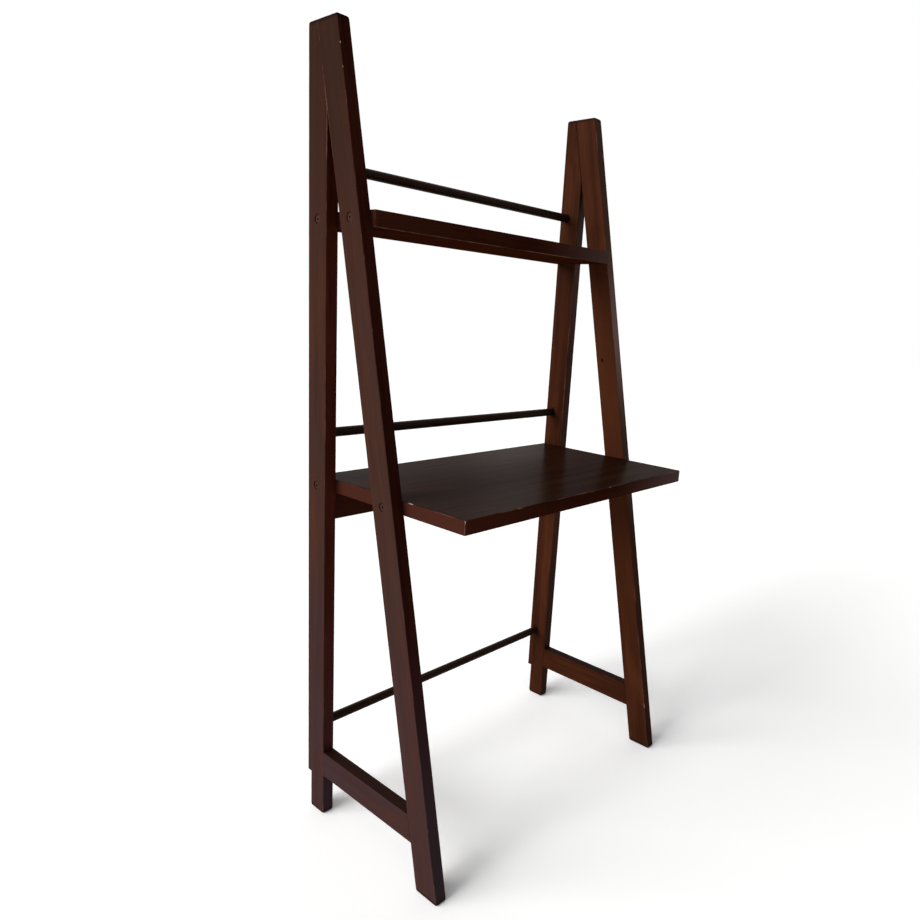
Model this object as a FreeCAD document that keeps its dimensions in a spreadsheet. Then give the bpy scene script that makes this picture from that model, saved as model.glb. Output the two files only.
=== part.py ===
import FreeCAD, Part
import os
import Sketcher

# Ladder desk: two A-shaped side frames that carry a desk board, a shelf and three rods.
# The origin is on the floor at the middle of the footprint, +Z up, front towards -Y.
# Inside each piece y = 0 is the rear plane of the desk, which stands against the wall.

doc = FreeCAD.newDocument("ladder_desk")
dims = doc.addObject("Spreadsheet::Sheet", "dims")

sizes = [
    # side frames
    ("overall_height", 1524),
    ("overall_width", 762),
    ("foot_depth", 407),            # front of the foot, ahead of the rear plane
    ("top_depth", 80),              # front of the frame at its top
    ("leg_thickness", 25.4),
    ("front_leg_width", 54.5),      # square to the raked leg
    ("rear_leg_width", 54.5),
    ("notch_depth", 11),            # baseboard notch at the back of the rear leg
    ("notch_height", 83),
    ("rail_bottom", 92),
    ("rail_height", 54.5),
    ("tenon_thickness", 9),
    ("tenon_length", 25),           # measured level, past the rail's shoulder
    ("tenon_shoulder", 8),          # rail above and below its tenons
    ("spline_thickness", 6),        # loose tongue across the bevel joint of the legs
    ("spline_width", 28),           # measured level
    ("spline_length", 90),          # measured upright
    ("spline_drop", 40),            # below the top of the frame
    ("joint_clearance", 0.1),       # beside tenons and tongues
    ("joint_end_gap", 1),
    ("bar_chamfer", 1),             # broken edges of legs and rails
    # boards
    ("desk_surface", 727),          # height of the writing surface
    ("desk_thickness", 26.5),
    ("desk_depth", 406),
    ("shelf_drop", 307),            # shelf's surface below the top of the frames
    ("shelf_thickness", 29),
    ("shelf_overhang", 12.6),       # ahead of the front legs
    ("board_radius", 2),            # rounded long edges of the boards
    ("apron_height", 64),
    ("apron_thickness", 18),
    ("apron_setback", 3),           # apron's rear face, ahead of the rear plane
    ("tongue_thickness", 8),        # on the apron's upper edge, in a groove of the desk board
    ("tongue_height", 8),
    # rods, each axis above the piece below it
    ("upper_rod_rise", 81),         # above the shelf
    ("middle_rod_rise", 86),        # above the desk
    ("lower_rod_rise", 46.5),       # above the foot rails
    ("rod_diameter", 19),
    ("rod_wall", 1.5),
    ("rod_setback", 17.5),          # rod axis, ahead of the rear plane
    ("socket_depth", 12),
    ("socket_clearance", 0.2),      # round the rod and at its end
    # connector bolts and their barrel nuts
    ("bolt_diameter", 6),
    ("bolt_head_diameter", 14.5),
    ("bolt_head_height", 3),
    ("bolt_drive", 4),              # across the flats of the hex socket
    ("bolt_drive_depth", 2),
    ("bolt_tip_stop", 2),           # tip of the bolt, short of the nut's far side
    ("bolt_hole_clearance", 0.4),   # round the shank and at its tip
    ("counterbore_depth", 4),
    ("counterbore_clearance", 0.4),
    ("nut_diameter", 10),
    ("nut_length", 16),
    ("nut_inset", 30),              # nut axis from the end of the board
    ("nut_far_wall", 1.5),          # left behind the blind cross hole
    ("nut_slot_width", 1.4),
    ("nut_slot_depth", 1.6),
    ("nut_clearance", 0.1),
]
for row, (name, value) in enumerate(sizes, start=1):
    dims.set(f"A{row}", name)
    dims.set(f"B{row}", str(value))
    dims.setAlias(f"B{row}", name)
doc.recompute()

# Slack for telling edges apart, as a length and as a cosine.
length_slack = 0.01
angle_slack = 0.001
along_x = FreeCAD.Vector(1, 0, 0)
along_y = FreeCAD.Vector(0, 1, 0)

# Lines that several pieces share, written once. "ahead" is a distance in front of the rear plane.
slope = "((dims.foot_depth - dims.top_depth) / dims.overall_height)"
leg_run = f"(dims.front_leg_width * sqrt(1 + {slope} ^ 2))"    # front leg measured level
inner_half = "(dims.overall_width / 2 - dims.leg_thickness)"
rear_plane = "(dims.foot_depth / 2)"
rail_top = "(dims.rail_bottom + dims.rail_height)"
desk_underside = "(dims.desk_surface - dims.desk_thickness)"
shelf_surface = "(dims.overall_height - dims.shelf_drop)"
shelf_underside = f"({shelf_surface} - dims.shelf_thickness)"
rear_leg_centre = "(dims.rear_leg_width / 2)"
bolt_reach = "(dims.nut_inset + dims.nut_diameter / 2 - dims.bolt_tip_stop)"    # into the board
rod_heights = {
    "upper_rod": f"({shelf_surface} + dims.upper_rod_rise)",
    "middle_rod": "(dims.desk_surface + dims.middle_rod_rise)",
    "lower_rod": f"({rail_top} + dims.lower_rod_rise)",
}
board_levels = {
    "desk": f"({desk_underside} + dims.desk_thickness / 2)",
    "shelf": f"({shelf_underside} + dims.shelf_thickness / 2)",
}


def front_ahead(level):
    return f"(dims.foot_depth - {slope} * ({level}))"


def joint_ahead(level):
    return f"({front_ahead(level)} - {leg_run})"


def front_leg_centre(level):
    return f"({front_ahead(level)} - {leg_run} / 2)"


def number(expression):
    value = dims.evalExpression(expression)
    return float(getattr(value, "Value", value))


def bind_place(piece, x="0", y="0", z="0", axis=None, angle=None):
    # Turn about one axis, then move; every term that isn't zero follows the sheet.
    if axis:
        turn = FreeCAD.Rotation(FreeCAD.Vector(*axis), number(angle))
        piece.Placement = FreeCAD.Placement(FreeCAD.Vector(), turn)
        piece.setExpression("Placement.Rotation.Angle", angle)
    for letter, expression in (("x", x), ("y", y), ("z", z)):
        if expression != "0":
            piece.setExpression(f"Placement.Base.{letter}", expression)


def new_body(label, x="0", z="0"):
    body = doc.addObject("PartDesign::Body", label)
    body.Label = label
    bind_place(body, x, rear_plane, z)
    return body


def new_sketch(body, role, name):
    sketch = body.newObject("Sketcher::SketchObject", name)
    plane = next(item for item in body.Origin.OriginFeatures if item.Role == role)
    sketch.AttachmentSupport = [(plane, "")]
    sketch.MapMode = "FlatFace"
    return sketch


def drive(sketch, kind, geometry, point, expression):
    # Hold one point at a signed distance from the sketch origin.
    if expression == "0":
        axis = -2 if kind == "DistanceX" else -1
        sketch.addConstraint(Sketcher.Constraint("PointOnObject", geometry, point, axis))
        return
    held = Sketcher.Constraint(kind, -1, 1, geometry, point, number(expression))
    index = sketch.addConstraint(held)
    sketch.setExpression(f"Constraints[{index}]", expression)


def profile(body, role, name, corners):
    # Closed outline through corners given as expressions; level and upright sides are held so.
    sketch = new_sketch(body, role, name)
    points = [FreeCAD.Vector(number(x), number(y), 0) for x, y in corners]
    count = len(corners)
    for index, start in enumerate(points):
        sketch.addGeometry(Part.LineSegment(start, points[(index + 1) % count]), False)
    for index, (x, y) in enumerate(corners):
        following = (index + 1) % count
        sketch.addConstraint(Sketcher.Constraint("Coincident", index, 2, following, 1))
        if corners[following][0] == x:
            sketch.addConstraint(Sketcher.Constraint("Vertical", index))
        if corners[following][1] == y:
            sketch.addConstraint(Sketcher.Constraint("Horizontal", index))
    for index, corner in enumerate(corners):
        neighbours = [corners[index - 1]] if index else []
        if index == count - 1:
            neighbours.append(corners[0])
        for part, kind in ((0, "DistanceX"), (1, "DistanceY")):
            if not any(other[part] == corner[part] for other in neighbours):
                drive(sketch, kind, index, 1, corner[part])
    return sketch


def circles(body, role, name, diameters):
    # Concentric circles about the sketch origin.
    sketch = new_sketch(body, role, name)
    for index, diameter in enumerate(diameters):
        ring = Part.Circle(FreeCAD.Vector(), FreeCAD.Vector(0, 0, 1), number(diameter) / 2)
        sketch.addGeometry(ring, False)
        sketch.addConstraint(Sketcher.Constraint("Coincident", index, 3, -1, 1))
        held = sketch.addConstraint(Sketcher.Constraint("Diameter", index, number(diameter)))
        sketch.setExpression(f"Constraints[{held}]", diameter)
    return sketch


def pad(body, sketch, length, reverse=False, both_ways=False):
    feature = body.newObject("PartDesign::Pad", "Pad")
    feature.Profile = sketch
    feature.setExpression("Length", length)
    feature.Reversed = reverse
    feature.Midplane = both_ways
    sketch.Visibility = False
    doc.recompute()
    return feature


def pocket(body, sketch, depth, reverse=False, both_ways=False):
    volume_before = body.Shape.Volume
    feature = body.newObject("PartDesign::Pocket", "Pocket")
    feature.Profile = sketch
    feature.setExpression("Length", depth)
    feature.Reversed = reverse
    feature.Midplane = both_ways
    sketch.Visibility = False
    doc.recompute()
    if body.Shape.Volume >= volume_before:
        raise RuntimeError(f"{body.Label}: {sketch.Label} cuts nothing")


def ease(body, feature, size, chosen, rounded=False):
    # Break the chosen straight edges of a bar, or round those of a board.
    names = [f"Edge{index}" for index, edge in enumerate(feature.Shape.Edges, start=1) if chosen(edge)]
    kind, term = ("PartDesign::Fillet", "Radius") if rounded else ("PartDesign::Chamfer", "Size")
    eased = body.newObject(kind, "Eased")
    eased.Base = (feature, names)
    eased.setExpression(term, size)
    doc.recompute()


def bore(body, name, diameter, depth, x="0", y="0", z="0", axis=None, angle=None):
    volume_before = body.Shape.Volume
    hole = body.newObject("PartDesign::SubtractiveCylinder", name)
    hole.setExpression("Radius", f"({diameter}) / 2")
    hole.setExpression("Height", depth)
    bind_place(hole, x, y, z, axis, angle)
    doc.recompute()
    if body.Shape.Volume >= volume_before:
        raise RuntimeError(f"{body.Label}: {name} cuts nothing")


def any_edge(edge):
    return True


def runs_along(edge, direction):
    first, last = edge.Vertexes[0].Point, edge.Vertexes[-1].Point
    return abs((last - first).normalize().dot(direction)) > 1 - angle_slack


# Directions of bores and fasteners, as a turn of +Z.
towards_right = ((0, 1, 0), "90 deg")
towards_left = ((0, 1, 0), "-90 deg")

bolt_bore = "dims.bolt_diameter + 2 * dims.bolt_hole_clearance"
head_bore = "dims.bolt_head_diameter + 2 * dims.counterbore_clearance"
rod_bore = "dims.rod_diameter + 2 * dims.socket_clearance"
nut_bore = "dims.nut_diameter + 2 * dims.nut_clearance"

# Outlines of the hidden joints of a side frame, seen from the side. Without a gap they are the
# tenons and the loose tongue; with one they are the seats cut for them in the legs.


def tenon_outline(end_gap="0", clearance="0"):
    # Level bar through the foot rail that ends inside both legs, its front end cut to the rake.
    bottom = f"(dims.rail_bottom + dims.tenon_shoulder - {clearance})"
    top = f"({rail_top} - dims.tenon_shoulder + {clearance})"
    reach = f"(dims.tenon_length + {end_gap})"
    rear_end = f"-(dims.rear_leg_width - {reach})"
    return [
        (rear_end, bottom),
        (f"-({joint_ahead(bottom)} + {reach})", bottom),
        (f"-({joint_ahead(top)} + {reach})", top),
        (rear_end, top),
    ]


def spline_outline(end_gap="0"):
    # Tongue along the bevel joint, half of it in each leg.
    top = f"(dims.overall_height - dims.spline_drop + {end_gap})"
    bottom = f"(dims.overall_height - dims.spline_drop - dims.spline_length - {end_gap})"
    reach = f"(dims.spline_width / 2 + {end_gap})"
    return [
        (f"-({joint_ahead(bottom)} - {reach})", bottom),
        (f"-({joint_ahead(bottom)} + {reach})", bottom),
        (f"-({joint_ahead(top)} + {reach})", top),
        (f"-({joint_ahead(top)} - {reach})", top),
    ]


def side_frame(side):
    # One A-frame: raked front leg, upright rear leg bevelled to meet it, tongue and tenoned rail.
    inward = 1 if side == "left" else -1
    outer_face = f"{-inward} * dims.overall_width / 2"
    middle = f"{inward} * dims.leg_thickness / 2"
    towards_middle = towards_right if side == "left" else towards_left
    reverse = side == "right"

    def bolt_holes(body, ahead):
        for board, level in board_levels.items():
            y = f"-{ahead(level)}"
            bore(body, f"{board}_bolt_hole", bolt_bore, "dims.leg_thickness",
                 "0", y, level, *towards_middle)
            bore(body, f"{board}_counterbore", head_bore, "dims.counterbore_depth",
                 "0", y, level, *towards_middle)

    def midway(body, name, corners):
        sketch = profile(body, "YZ_Plane", name, corners)
        sketch.setExpression("AttachmentOffset.Base.z", middle)
        return sketch

    def joint_seats(body):
        mortise = midway(body, "Mortise", tenon_outline("dims.joint_end_gap", "dims.joint_clearance"))
        pocket(body, mortise, "dims.tenon_thickness + 2 * dims.joint_clearance", both_ways=True)
        groove = midway(body, "Spline_groove", spline_outline("dims.joint_end_gap"))
        pocket(body, groove, "dims.spline_thickness + 2 * dims.joint_clearance", both_ways=True)

    front_leg = new_body(f"{side}_front_leg", outer_face)
    top = "dims.overall_height"
    outline = profile(front_leg, "YZ_Plane", "Outline", [
        (f"-{front_ahead(top)}", top),
        ("-dims.foot_depth", "0"),
        (f"-{joint_ahead('0')}", "0"),
        (f"-{joint_ahead(top)}", top),
    ])
    bar = pad(front_leg, outline, "dims.leg_thickness", reverse)
    ease(front_leg, bar, "dims.bar_chamfer", any_edge)
    bolt_holes(front_leg, front_leg_centre)
    joint_seats(front_leg)

    rear_leg = new_body(f"{side}_rear_leg", outer_face)
    bevel_foot = f"((dims.foot_depth - {leg_run} - dims.rear_leg_width) / {slope})"
    outline = profile(rear_leg, "YZ_Plane", "Outline", [
        ("0", top),
        ("0", "dims.notch_height"),
        ("-dims.notch_depth", "dims.notch_height"),
        ("-dims.notch_depth", "0"),
        ("-dims.rear_leg_width", "0"),
        ("-dims.rear_leg_width", bevel_foot),
        (f"-{joint_ahead(top)}", top),
    ])
    bar = pad(rear_leg, outline, "dims.leg_thickness", reverse)
    inner_corner = FreeCAD.Vector(0, -number("dims.notch_depth"), number("dims.notch_height"))

    def outside_notch_corner(edge):
        middle_point = edge.CenterOfMass
        aside = abs(middle_point.y - inner_corner.y) + abs(middle_point.z - inner_corner.z)
        return aside > length_slack

    ease(rear_leg, bar, "dims.bar_chamfer", outside_notch_corner)
    bolt_holes(rear_leg, lambda level: rear_leg_centre)
    joint_seats(rear_leg)
    socket_bottom = f"{inward} * (dims.leg_thickness - dims.socket_depth)"
    for rod, level in rod_heights.items():
        bore(rear_leg, f"{rod}_socket", rod_bore, "dims.socket_depth",
             socket_bottom, "-dims.rod_setback", level, *towards_middle)

    rail = new_body(f"{side}_foot_rail", outer_face)
    outline = profile(rail, "YZ_Plane", "Outline", [
        ("-dims.rear_leg_width", "dims.rail_bottom"),
        (f"-{joint_ahead('dims.rail_bottom')}", "dims.rail_bottom"),
        (f"-{joint_ahead(rail_top)}", rail_top),
        ("-dims.rear_leg_width", rail_top),
    ])
    bar = pad(rail, outline, "dims.leg_thickness", reverse)
    ease(rail, bar, "dims.bar_chamfer", lambda edge: runs_along(edge, along_y))
    pad(rail, midway(rail, "Tenons", tenon_outline()), "dims.tenon_thickness", both_ways=True)

    spline = new_body(f"{side}_apex_spline", outer_face)
    pad(spline, midway(spline, "Outline", spline_outline()), "dims.spline_thickness", both_ways=True)
    return [front_leg, rear_leg, rail, spline]


def board(label, depth, thickness, underside, level):
    # Board bolted between the frames: bolt bores in its ends, nut bores from below.
    body = new_body(label, z=underside)
    outline = profile(body, "XY_Plane", "Outline", [
        (f"-{inner_half}", "0"),
        (f"-{inner_half}", f"-({depth})"),
        (inner_half, f"-({depth})"),
        (inner_half, "0"),
    ])
    slab = pad(body, outline, thickness)
    ease(body, slab, "dims.board_radius", lambda edge: runs_along(edge, along_x), rounded=True)
    nut_bore_depth = f"({thickness} + dims.nut_length) / 2 + dims.nut_clearance"
    bolt_bore_depth = f"{bolt_reach} + dims.bolt_hole_clearance"
    for sign, inward in ((-1, towards_right), (1, towards_left)):
        for leg, ahead in (("rear", rear_leg_centre), ("front", front_leg_centre(level))):
            name = f"{'left' if sign < 0 else 'right'}_{leg}"
            bore(body, f"{name}_bolt_bore", bolt_bore, bolt_bore_depth,
                 f"{sign} * {inner_half}", f"-{ahead}", f"{thickness} / 2", *inward)
            bore(body, f"{name}_nut_bore", nut_bore, nut_bore_depth,
                 f"{sign} * ({inner_half} - dims.nut_inset)", f"-{ahead}", "0")
    return body


desk = board("desk_top", "dims.desk_depth", "dims.desk_thickness", desk_underside, board_levels["desk"])
shelf_depth = f"{front_ahead(shelf_surface)} + dims.shelf_overhang"
shelf = board("shelf_board", shelf_depth, "dims.shelf_thickness", shelf_underside, board_levels["shelf"])

# Apron on edge under the back of the desk, held by a tongue in a groove of the desk board.
apron_middle = "(dims.apron_setback + dims.apron_thickness / 2)"


def tongue_edges(clearance="0"):
    half = f"(dims.tongue_thickness / 2 + {clearance})"
    return f"-({apron_middle} + {half})", f"-({apron_middle} - {half})"


apron = new_body("desk_rear_apron", z=f"{desk_underside} - dims.apron_height")
apron_front = "-(dims.apron_setback + dims.apron_thickness)"
tongue_front, tongue_rear = tongue_edges()
section = profile(apron, "YZ_Plane", "Section", [
    ("-dims.apron_setback", "0"),
    (apron_front, "0"),
    (apron_front, "dims.apron_height"),
    (tongue_front, "dims.apron_height"),
    (tongue_front, "dims.apron_height + dims.tongue_height"),
    (tongue_rear, "dims.apron_height + dims.tongue_height"),
    (tongue_rear, "dims.apron_height"),
    ("-dims.apron_setback", "dims.apron_height"),
])
stiffener = pad(apron, section, f"2 * {inner_half}", both_ways=True)
ease(apron, stiffener, "dims.bar_chamfer",
     lambda edge: runs_along(edge, along_x) and edge.CenterOfMass.z < length_slack)
groove_front, groove_rear = tongue_edges("dims.joint_clearance")
groove_top = "dims.tongue_height + dims.joint_clearance"
groove = profile(desk, "YZ_Plane", "Groove", [
    (groove_front, "0"),
    (groove_rear, "0"),
    (groove_rear, groove_top),
    (groove_front, groove_top),
])
pocket(desk, groove, "dims.overall_width", both_ways=True)

frames = side_frame("left") + side_frame("right")

rods = []
for label, level in rod_heights.items():
    rod = new_body(label, z=level)
    rod.setExpression("Placement.Base.y", f"{rear_plane} - dims.rod_setback")
    ring = circles(rod, "YZ_Plane", "Section",
                   ["dims.rod_diameter", "dims.rod_diameter - 2 * dims.rod_wall"])
    reach = "dims.socket_depth - dims.socket_clearance"
    pad(rod, ring, f"2 * ({inner_half} + {reach})", both_ways=True)
    rods.append(rod)

# Master fasteners, each along +Z from its own origin; the groups below hold placed copies.
bolt = doc.addObject("PartDesign::Body", "connector_bolt")
pad(bolt, circles(bolt, "XY_Plane", "Head", ["dims.bolt_head_diameter"]), "dims.bolt_head_height",
    reverse=True)
shank_length = f"dims.leg_thickness - dims.counterbore_depth + {bolt_reach}"
pad(bolt, circles(bolt, "XY_Plane", "Shank", ["dims.bolt_diameter"]), shank_length)
drive_socket = new_sketch(bolt, "XY_Plane", "Drive")
drive_socket.setExpression("AttachmentOffset.Base.z", "-dims.bolt_head_height")
corner_radius = "(dims.bolt_drive / sqrt(3))"
for index in range(6):
    start, end = (FreeCAD.Vector(number(f"{corner_radius} * cos({60 * step} deg)"),
                                 number(f"{corner_radius} * sin({60 * step} deg)"), 0)
                  for step in (index, index + 1))
    drive_socket.addGeometry(Part.LineSegment(start, end), False)
for index in range(6):
    drive_socket.addConstraint(Sketcher.Constraint("Coincident", index, 2, (index + 1) % 6, 1))
    drive(drive_socket, "DistanceX", index, 1, f"{corner_radius} * cos({60 * index} deg)")
    drive(drive_socket, "DistanceY", index, 1, f"{corner_radius} * sin({60 * index} deg)")
pocket(bolt, drive_socket, "dims.bolt_drive_depth", reverse=True)

nut = doc.addObject("PartDesign::Body", "barrel_nut")
pad(nut, circles(nut, "XY_Plane", "Barrel", ["dims.nut_diameter"]), "dims.nut_length", both_ways=True)
bore(nut, "Cross_hole", "dims.bolt_diameter + 2 * dims.nut_clearance",
     "dims.nut_diameter - dims.nut_far_wall", "-dims.nut_diameter / 2", "0", "0", *towards_right)
slot = profile(nut, "YZ_Plane", "Slot", [
    ("-dims.nut_slot_width / 2", "-dims.nut_length / 2"),
    ("dims.nut_slot_width / 2", "-dims.nut_length / 2"),
    ("dims.nut_slot_width / 2", "-dims.nut_length / 2 + dims.nut_slot_depth"),
    ("-dims.nut_slot_width / 2", "-dims.nut_length / 2 + dims.nut_slot_depth"),
])
pocket(nut, slot, "2 * dims.nut_diameter", both_ways=True)


def group(label, master, spots):
    # One node of separate, placed copies of a master fastener.
    copies = []
    for index, (x, y, z, axis, angle) in enumerate(spots):
        copy = doc.addObject("App::Link", f"{label}_{index}")
        copy.LinkedObject = master
        copy.LinkTransform = False
        bind_place(copy, x, y, z, axis, angle)
        copies.append(copy)
    node = doc.addObject("Part::Compound", label)
    node.Label = label
    node.Links = copies
    return node


def behind(ahead):
    return f"{rear_plane} - {ahead}"


hardware = []
for name, level in board_levels.items():
    legs = (rear_leg_centre, front_leg_centre(level))
    for side, sign, inward in (("left", -1, towards_right), ("right", 1, towards_left)):
        seat = f"{sign} * (dims.overall_width / 2 - dims.counterbore_depth)"
        spots = [(seat, behind(ahead), level, *inward) for ahead in legs]
        hardware.append(group(f"{side}_{name}_bolts", bolt, spots))
    nut_x = f"({inner_half} - dims.nut_inset)"
    upright = (0, 0, 1)
    spots = [(f"{sign} * {nut_x}", behind(ahead), level, upright, turn)
             for sign, turn in ((-1, "0 deg"), (1, "180 deg")) for ahead in legs]
    hardware.append(group(f"{name}_barrel_nuts", nut, spots))
doc.recompute()

for item in doc.Objects:
    if "Invalid" in item.State or "Error" in item.State:
        raise RuntimeError(f"{item.Label} failed: {item.State}")
sub_parts = frames + [desk, shelf, apron] + rods + hardware
for item in sub_parts:
    if item.Shape.isNull() or not item.Shape.isValid():
        raise RuntimeError(f"{item.Label} has no valid shape")

os.makedirs("parts", exist_ok=True)
for item in sub_parts:
    item.Shape.exportStep(f"parts/{item.Label}.step")
    box = item.Shape.BoundBox
    print(f"{item.Label}: {len(item.Shape.Solids)} solids, {item.Shape.Volume / 1000:.1f} cm3, "
          f"{box.XLength:.1f} x {box.YLength:.1f} x {box.ZLength:.1f} mm")
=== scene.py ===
import bmesh
import bpy
import math
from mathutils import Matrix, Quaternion, Vector, noise


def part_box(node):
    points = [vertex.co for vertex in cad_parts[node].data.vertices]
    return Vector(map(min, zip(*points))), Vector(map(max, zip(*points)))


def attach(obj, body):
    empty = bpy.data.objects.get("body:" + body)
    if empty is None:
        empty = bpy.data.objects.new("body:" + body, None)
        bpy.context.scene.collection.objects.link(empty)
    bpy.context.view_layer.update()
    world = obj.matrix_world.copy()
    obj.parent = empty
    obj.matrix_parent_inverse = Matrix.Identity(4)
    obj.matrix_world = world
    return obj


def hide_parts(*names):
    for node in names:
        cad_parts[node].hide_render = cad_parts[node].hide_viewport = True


# Ladder desk in dark stained timber. Metres, z up, the sitter at -y, the wall at +y.
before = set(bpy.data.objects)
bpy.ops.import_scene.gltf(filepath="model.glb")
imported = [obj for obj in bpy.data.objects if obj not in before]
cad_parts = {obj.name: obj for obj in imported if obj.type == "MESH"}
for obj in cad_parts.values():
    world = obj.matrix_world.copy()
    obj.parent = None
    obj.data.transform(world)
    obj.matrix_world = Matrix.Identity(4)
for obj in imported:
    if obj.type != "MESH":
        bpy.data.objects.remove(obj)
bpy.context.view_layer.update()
scene = bpy.context.scene
scene.view_settings.view_transform = "Standard"
print("frame loaded,", len(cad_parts), "solids")

# The camera stands where the photograph was taken from.
photoView = {
    "stand": (-1.18158, -0.99793, 1.05716),
    "azimuth": -48.5421,
    "elevation": 12.9928,
    "roll": 3.4547,
    "lens": 28.7328,
    "shift": (-0.04126, 0.02543),
}


def direction(turn, rise):
    # turn is in degrees from the right (+x) towards the wall (+y), rise in degrees from the level
    turn = math.radians(turn)
    rise = math.radians(rise)
    return Vector((math.cos(turn) * math.cos(rise), math.sin(turn) * math.cos(rise), math.sin(rise)))


def setCamera(view):
    data = bpy.data.cameras.new("photoView")
    data.lens = view["lens"]
    data.shift_x, data.shift_y = view["shift"]
    back = direction(view["azimuth"] - 90, view["elevation"])
    camera = bpy.data.objects.new("photoView", data)
    camera.rotation_mode = "QUATERNION"
    roll = Quaternion((0, 0, 1), math.radians(view["roll"]))
    camera.rotation_quaternion = (-back).to_track_quat("-Z", "Y") @ roll
    camera.location = view["stand"]
    scene.collection.objects.link(camera)
    scene.camera = camera


setCamera(photoView)
print("camera set")


# Small helpers for node trees: a socket takes a value, or a link from another socket.
def addNode(tree, kind, sockets=None, **options):
    node = tree.nodes.new(kind)
    for key, value in options.items():
        setattr(node, key, value)
    for key, value in (sockets or {}).items():
        if isinstance(value, bpy.types.NodeSocket):
            tree.links.new(value, node.inputs[key])
        else:
            node.inputs[key].default_value = value
    return node


def addMath(tree, operation, first, second):
    return addNode(tree, "ShaderNodeMath", {0: first, 1: second}, operation=operation).outputs[0]


def addMix(tree, share, first, second):
    return addNode(tree, "ShaderNodeMix", {0: share, 6: first, 7: second}, data_type="RGBA").outputs[2]


def addRange(tree, value, start, end, low=0.0, high=1.0, kind="LINEAR"):
    return addNode(tree, "ShaderNodeMapRange", {
        "Value": value, "From Min": start, "From Max": end, "To Min": low, "To Max": high,
    }, interpolation_type=kind).outputs[0]


def addNoise(tree, place, stretch, detail, roughness=0.5, distortion=0.0):
    spread = addNode(tree, "ShaderNodeMapping", {"Vector": place, "Scale": stretch}).outputs[0]
    return addNode(tree, "ShaderNodeTexNoise", {
        "Vector": spread, "Scale": 1.0, "Detail": detail,
        "Roughness": roughness, "Distortion": distortion,
    }).outputs[0]


def newMaterial(name):
    material = bpy.data.materials.new(name)
    material.use_nodes = True
    material.node_tree.nodes.clear()
    return material, material.node_tree


def seenDirectly(tree):
    path = addNode(tree, "ShaderNodeLightPath")
    seen = addMath(tree, "MAXIMUM", path.outputs["Is Camera Ray"], path.outputs["Is Glossy Ray"])
    return addMath(tree, "MAXIMUM", seen, path.outputs["Is Transmission Ray"])


# White studio: a key lamp from the left, soft ones behind on both sides, one for the floor alone,
# a weak even fill, and a floor that keeps the shadow.
studio = {
    "lamps": {
        "keyLamp": {"turn": 154, "rise": 26, "spread": 42, "strength": 2.3, "colour": (1.0, 0.99, 0.98)},
        "sideLamp": {"turn": 135, "rise": 5, "spread": 130, "strength": 0.8, "colour": (1.0, 0.99, 0.98)},
        "wallLamp": {"turn": 40, "rise": 10, "spread": 110, "strength": 1.2, "colour": (1.0, 1.0, 1.0)},
        "floorLamp": {"turn": 176, "rise": 26, "spread": 22, "strength": 1.45, "colour": (1.0, 1.0, 1.0)},
    },
    "lampDistance": 4,
    "floorLamps": ["floorLamp"],    # these light only the floor, for the shadows of the feet
    "fill": 0.09,
    "mirrored": [           # brighter and dimmer stretches of the room that the lacquer mirrors:
        (40, 0.5, 4.0, 0.6),        # turn, half width without and with its soft edge, light added
        (34.5, 1.5, 4.0, -1.0),
        (47, 1.0, 5.0, -0.3),
    ],
    "floorColour": (0.95, 0.95, 0.95, 1),
    "floorBounce": (0.70, 0.70, 0.70, 1),   # its colour in the light it throws back
    "floorGlow": 0.29,
    "footShade": 0.15,      # reach of the darker floor beside the feet
    "footShadePower": 1.7,
    "footShadeFrom": (-0.86, 0.08, 0.50),   # the floor is darker where this side is blocked
    "floorSize": 60,
    "floorDrop": 0.0003,
}


def setLamps(look):
    for name, values in look["lamps"].items():
        lamp = bpy.data.lights.new(name, "SUN")
        lamp.energy = values["strength"]
        lamp.angle = math.radians(values["spread"])
        lamp.color = values["colour"]
        stand = bpy.data.objects.new(name, lamp)
        towards = direction(values["turn"], values["rise"])
        stand.rotation_euler = towards.to_track_quat("Z", "Y").to_euler()
        stand.location = towards * look["lampDistance"]
        scene.collection.objects.link(stand)


def setWorld(look):
    world = bpy.data.worlds.new("whiteStudio")
    world.use_nodes = True
    tree = world.node_tree
    tree.nodes.clear()

    def white(strength):
        return addNode(tree, "ShaderNodeBackground", {
            "Color": (1, 1, 1, 1), "Strength": strength,
        }).outputs[0]

    def either(share, first, second):
        return addNode(tree, "ShaderNodeMixShader", {0: share, 1: first, 2: second}).outputs[0]

    plain = either(seenDirectly(tree), white(look["fill"]), white(1.0))
    ray = addNode(tree, "ShaderNodeTexCoord").outputs["Generated"]
    level = addNode(tree, "ShaderNodeVectorMath", {0: ray, 1: (1, 1, 0)}, operation="MULTIPLY").outputs[0]
    heading = addNode(tree, "ShaderNodeVectorMath", {0: level}, operation="NORMALIZE").outputs[0]
    shine = 1.0
    for turn, full, faded, share in look["mirrored"]:
        near = addNode(tree, "ShaderNodeVectorMath", {
            0: heading, 1: direction(turn, 0),
        }, operation="DOT_PRODUCT").outputs["Value"]
        start = math.cos(math.radians(faded))
        end = math.cos(math.radians(full))
        shine = addMath(tree, "ADD", addRange(tree, near, start, end, 0.0, share), shine)
    mirroring = addNode(tree, "ShaderNodeLightPath").outputs["Is Glossy Ray"]
    addNode(tree, "ShaderNodeOutputWorld", {"Surface": either(mirroring, plain, white(shine))})
    scene.world = world


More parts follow.
